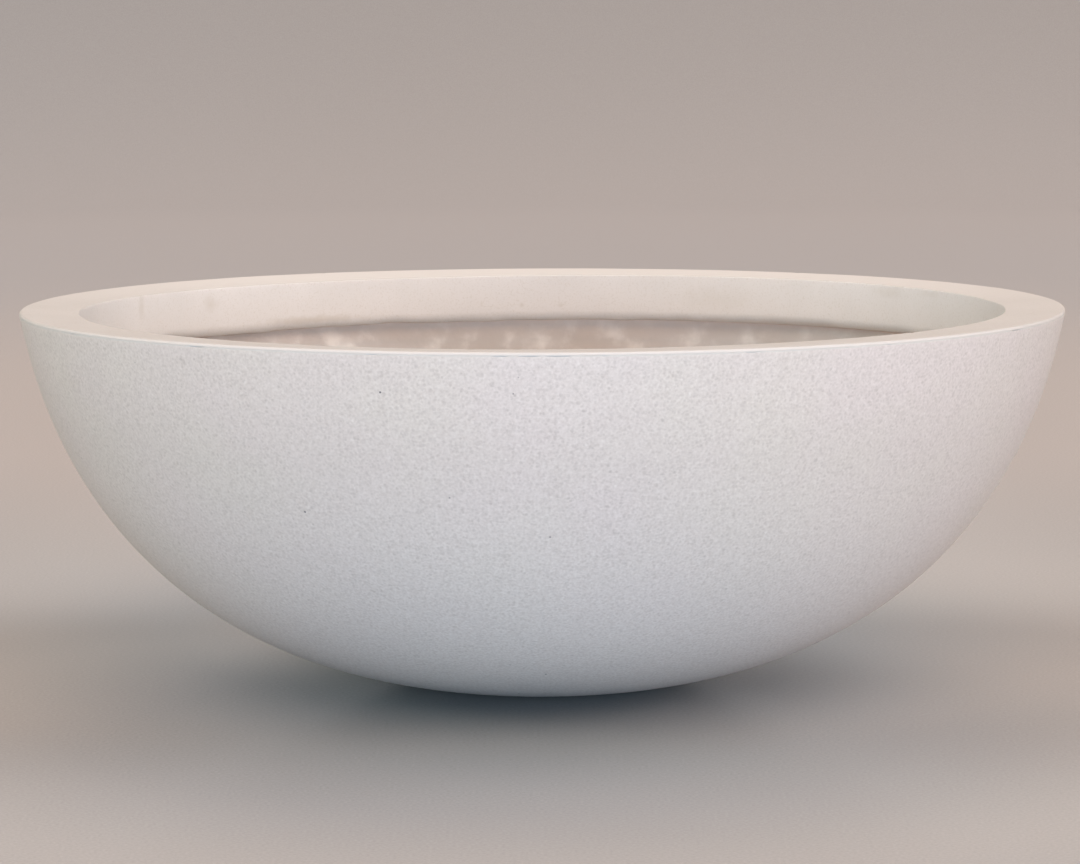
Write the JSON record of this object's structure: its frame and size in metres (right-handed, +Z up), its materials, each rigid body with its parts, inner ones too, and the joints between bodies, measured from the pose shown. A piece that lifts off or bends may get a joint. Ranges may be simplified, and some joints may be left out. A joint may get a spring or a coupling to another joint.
{
  "type": "bowl planter",
  "caption": "Low round bowl planter in ground terrazzo, with a wide cast rim, a smooth inner band, thin feet and a drain with a lift-out plug.",
  "frame": {"origin": "centre of the footprint, on the floor under the foot pads", "axes": "+Z up along the bowl's axis, +Y away from the side that the picture shows, +X to the right in the picture"},
  "size_m": [0.7991, 0.7992, 0.2899],
  "materials": {
    "terrazzo": "ground and honed, matt, with small pale grey chips",
    "fibre_cement": "rough, laid up by hand",
    "cast_stone": "smooth trowelled, cream",
    "mortar": "sandy",
    "cement": "floated",
    "mild_steel": "plain rolled rod",
    "grey_plastic": "moulded, satin",
    "black_rubber": "moulded, matt"
  },
  "bodies": {
    "bowl": {"facing_shell": "terrazzo", "fibre_backing": "fibre_cement", "rim_collar": "cast_stone", "bedding_joint": "mortar", "rim_hoop": "mild_steel", "floor_screed": "cement", "drain_sleeve": "grey_plastic", "foot_pad_1": "black_rubber", "foot_pad_2": "black_rubber", "foot_pad_3": "black_rubber", "foot_pad_4": "black_rubber"},
    "drain_plug": {"drain_plug": "black_rubber"}
  },
  "joints": [
    {"name": "plug_lift", "type": "slide", "parent": "bowl", "child": "drain_plug", "axis": [0, 0, 1], "range_m": [0, 0.3]}
  ]
}
